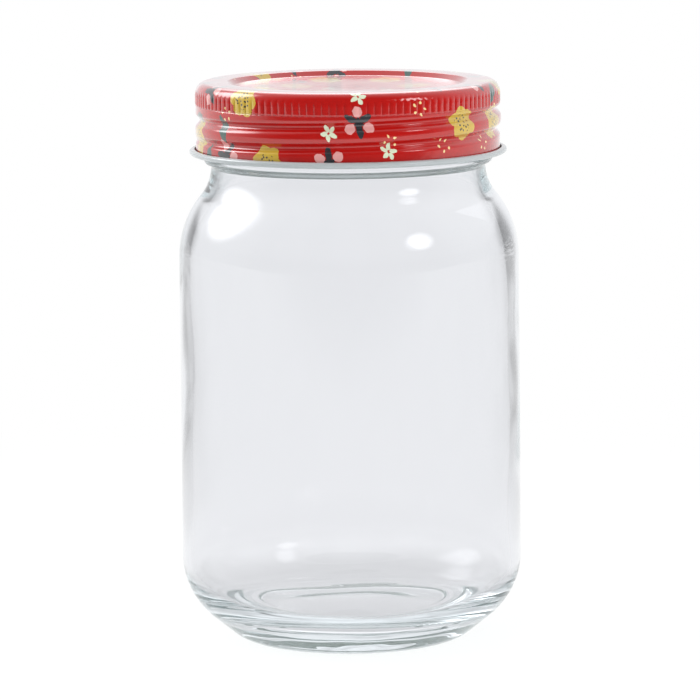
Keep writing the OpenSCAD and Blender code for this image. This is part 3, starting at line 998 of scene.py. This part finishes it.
def white_paper_floor(stage):
    """White backdrop paper: matt, with a grain too fine to see.

    Seen directly, in gloss or through the glass it glows white and keeps the jar's shadow. In gloss and
    through the glass the glow has painted shade in places.
    """
    material, tree, output = new_material("white_paper_floor")
    grain = put(tree, "TexNoise", {"Scale": 400.0, "Detail": 2.0})[0]
    dull = tuple(0.98 * c for c in stage.floor)
    tone = put(tree, "Mix", {SHARE: grain, UNDER: (*stage.floor, 1), OVER: (*dull, 1)}, **COLOURS)[MIXED]
    paper = put(tree, "BsdfDiffuse", {"Color": tone})[0]
    path = put(tree, "LightPath")
    through = path["Is Transmission Ray"]
    spot = put(tree, "TexCoord")["Object"]
    x, y, _ = put(tree, "SeparateXYZ", (spot,))
    away = put(tree, "VectorMath", (spot,), "LENGTH")["Value"]
    # In gloss the paper's glow is painted dark from well in front on, as painted shade, so only low
    # surfaces mirror it
    ends = put(tree, "MapRange", (y, -0.35, -0.75, 0.0, -0.9), **SOFTLY)[0]
    mirrored = put(tree, "Math", (ends, path["Is Glossy Ray"], 1.0), "MULTIPLY_ADD")[0]
    # Through the glass its glow is painted darker: painted shade close by, and painted shade to the sides
    # in loose patches
    painted_shade_close = put(tree, "MapRange", (away, 0.03, 0.1, 0.73, 1.0), **SOFTLY)[0]
    painted_side_patches = put(tree, "TexNoise", {"Vector": spot, "Scale": 7.0, "Detail": 1.0})[0]
    painted_side_patches = put(tree, "MapRange", (painted_side_patches, 0.35, 0.65, 0.5, 1.1), **SOFTLY)[0]
    farther = put(tree, "MapRange", (away, 0.14, 0.28, 0.0, 1.0), **SOFTLY)[0]
    painted_side_patches = put(tree, "Math", (painted_side_patches, farther), "MULTIPLY")[0]
    least = put(tree, "MapRange", (away, 0.9, 1.4, 0.12, 0.36), **SOFTLY)[0]
    # Painted shade: through the glass the floor's glow is darker off the line behind the jar
    sides = off_axis(tree, x, y, path, least, painted_side_patches)
    level = put(tree, "Math", (painted_shade_close, sides), "MULTIPLY")[0]
    level = put(tree, "Mix", (through, None, mirrored, level))[0]
    white, pale = (1, 1, 1, 1), (*stage.behind, 1)
    hue = put(tree, "Mix", {SHARE: through, UNDER: white, OVER: pale}, **COLOURS)[MIXED]
    glow = put(tree, "Emission", {"Color": hue, "Strength": level})[0]
    # Beside the jar a part stays plain paper, which keeps the shadow
    seen = put(tree, "Math", (path["Is Camera Ray"], through), "MAXIMUM")[0]
    seen = put(tree, "Math", (seen, path["Is Glossy Ray"]), "MAXIMUM")[0]
    whiter = put(tree, "MapRange", (away, 0.05, 0.3, 0.7, 1.0), **SOFTLY)[0]
    whiter = put(tree, "Math", (whiter, through), "MAXIMUM")[0]
    share = put(tree, "Math", (seen, whiter), "MULTIPLY")[0]
    surface = put(tree, "MixShader", (share, paper, glow))[0]
    tree.links.new(surface, output.inputs["Surface"])
    return material


def pale_studio(stage):
    """The surroundings: white to the camera, pale through glass, and soft boxes in gloss."""
    world = bpy.data.worlds.new("pale_studio")
    world.use_nodes = True
    tree = world.node_tree
    tree.nodes.clear()
    output = tree.nodes.new("ShaderNodeOutputWorld")
    path = put(tree, "LightPath")
    way = put(tree, "TexCoord")["Generated"]
    x, y, z = put(tree, "SeparateXYZ", (way,))

    # Soft boxes: left and a little behind, right in front, and a wide one overhead and behind
    patches = []
    for azimuth, elevation, core, edge, strength in (
        (-111, 32, 1, 23, 5.6),
        (54, 27, 0.1, 11, 6.0),
        (180, 44, 6, 28, 2.6),
    ):
        middle = direction(azimuth, elevation)
        facing = put(tree, "VectorMath", (way, middle), "DOT_PRODUCT")["Value"]
        limits = cos(radians(edge)), cos(radians(core))
        patches.append(put(tree, "MapRange", (facing, *limits, 0.0, strength), **SOFTLY)[0])
    boxes = put(tree, "Math", (patches[0], patches[1]), "ADD")[0]
    # In gloss the room in front of the jar is dimmer than the paper round its other sides
    shine = put(tree, "MapRange", (y, 0.45, -0.7, 0.98, 0.05), **SOFTLY)[0]
    shine = put(tree, "Math", (shine, boxes), "ADD")[0]
    shine = put(tree, "Math", (shine, patches[2]), "ADD")[0]

    # Through glass the paper is dimmer to the sides and between eight main directions
    bearing = put(tree, "Math", (y, x), "ARCTAN2")[0]
    gaps = put(tree, "Math", (bearing, 8.0), "MULTIPLY")[0]
    gaps = put(tree, "Math", (gaps,), "COSINE")[0]
    paper = put(tree, "MapRange", (gaps, 0.3, -0.7, 1.1, 0.98), **SOFTLY)[0]
    tilt = put(tree, "Math", (z,), "ABSOLUTE")[0]
    level = put(tree, "MapRange", (tilt, 0.08, 0.2, 1.0, 0.0), **SOFTLY)[0]
    sides = off_axis(tree, x, y, path, 0.36, level)
    paper = put(tree, "Math", (paper, sides), "MULTIPLY")[0]
    # It is brighter above, which the thick base gathers, and the soft boxes show faintly
    above = put(tree, "MapRange", (tilt, 0.2, 0.45, 1.0, 1.22), **SOFTLY)[0]
    faint = put(tree, "Math", (boxes, 0.65), "MULTIPLY")[0]
    paper = put(tree, "Math", (paper, above, faint), "MULTIPLY_ADD")[0]

    seen = put(tree, "Background", {"Color": (1, 1, 1, 1), "Strength": 1.0})[0]
    behind = put(tree, "Background", {"Color": (*stage.behind, 1), "Strength": paper})[0]
    mirrored = put(tree, "Background", {"Color": (0.97, 0.98, 1, 1), "Strength": shine})[0]
    lit = put(tree, "Background", {"Color": (1, 1, 1, 1), "Strength": 0.7})[0]
    room = put(tree, "MixShader", (path["Is Glossy Ray"], lit, mirrored))[0]
    room = put(tree, "MixShader", (path["Is Transmission Ray"], room, behind))[0]
    room = put(tree, "MixShader", (path["Is Camera Ray"], room, seen))[0]
    tree.links.new(room, output.inputs["Surface"])
    return world


class JAR_OT_stage(bpy.types.Operator):
    """Builds the floor, the soft boxes, the pale surroundings and the camera."""

    bl_idname = "jar.stage"
    bl_label = "Stage"

    def execute(self, context):
        scene = context.scene
        side, cells = 3.0, 12
        below_foot = -0.00005
        ticks = np.linspace(-side, side, cells + 1)
        points = [(x, y, below_foot) for y in ticks for x in ticks]
        row = cells + 1
        corners = [i + j * row for j in range(cells) for i in range(cells)]
        faces = [(n, n + 1, n + 1 + row, n + row) for n in corners]
        mesh = bpy.data.meshes.new("studio_floor")
        mesh.from_pydata(points, [], faces)
        mesh.materials.append(white_paper_floor(scene.jar_stage))
        floor = bpy.data.objects.new("studio_floor", mesh)
        scene.collection.objects.link(floor)
        scene.world = pale_studio(scene.jar_stage)

        lamp("soft_box_left", -107, 35, 1.1, 0.55, 0.45, 9)
        lamp("soft_box_right", 47, 26, 1.1, 0.35, 0.35, 6)

        # A long lens, a metre in front of the jar and a little above it
        data = bpy.data.cameras.new("camera")
        data.lens, data.sensor_width = 220.3, 36
        data.clip_start, data.clip_end = 0.05, 20
        camera = bpy.data.objects.new("camera", data)
        scene.collection.objects.link(camera)
        camera.location = (0, -0.9882, 0.2150)
        aim = Vector((0, 0, 0.067)) - camera.location
        turn = aim.to_track_quat("-Z", "Y").to_matrix().to_4x4()
        roll = Matrix.Rotation(radians(-0.55), 4, "Z")
        camera.rotation_mode = "QUATERNION"
        camera.rotation_quaternion = (turn @ roll).to_quaternion()
        scene.camera = camera
        scene.view_settings.view_transform = "Standard"
        # Light is thrown back many times inside the base and the neck before it leaves the glass
        scene.cycles.max_bounces = 128
        scene.cycles.glossy_bounces = 100
        scene.cycles.transmission_bounces = 100
        return {"FINISHED"}


class JAR_PT_panel(bpy.types.Panel):
    """Lists the jar's pieces and their sizes."""

    bl_idname = "JAR_PT_panel"
    bl_label = "Glass Jar"
    bl_space_type = "VIEW_3D"
    bl_region_type = "UI"
    bl_category = "Jar"

    def draw(self, context):
        for piece, group in zip(PIECES, GROUPS):
            box = self.layout.box()
            box.operator(piece.bl_idname)
            settings = getattr(context.scene, group)
            for name in settings.__annotations__:
                box.prop(settings, name)


GROUPS = {
    "jar_glass": GlassJarSizes,
    "jar_lid": PrintedLidSizes,
    "jar_ring": SealingRingSizes,
    "jar_stage": StageSettings,
}
PIECES = (JAR_OT_glass, JAR_OT_lid, JAR_OT_sealing_ring, JAR_OT_stage)
CLASSES = (*GROUPS.values(), *PIECES, JAR_PT_panel)


def register():
    for cls in CLASSES:
        bpy.utils.register_class(cls)
    for name, group in GROUPS.items():
        setattr(bpy.types.Scene, name, bpy.props.PointerProperty(type=group))


def unregister():
    for name in GROUPS:
        delattr(bpy.types.Scene, name)
    for cls in reversed(CLASSES):
        bpy.utils.unregister_class(cls)


def main():
    register()
    bpy.ops.jar.glass()
    bpy.ops.jar.lid()
    bpy.ops.jar.sealing_ring()
    bpy.ops.jar.stage()


if __name__ == "__main__":
    main()
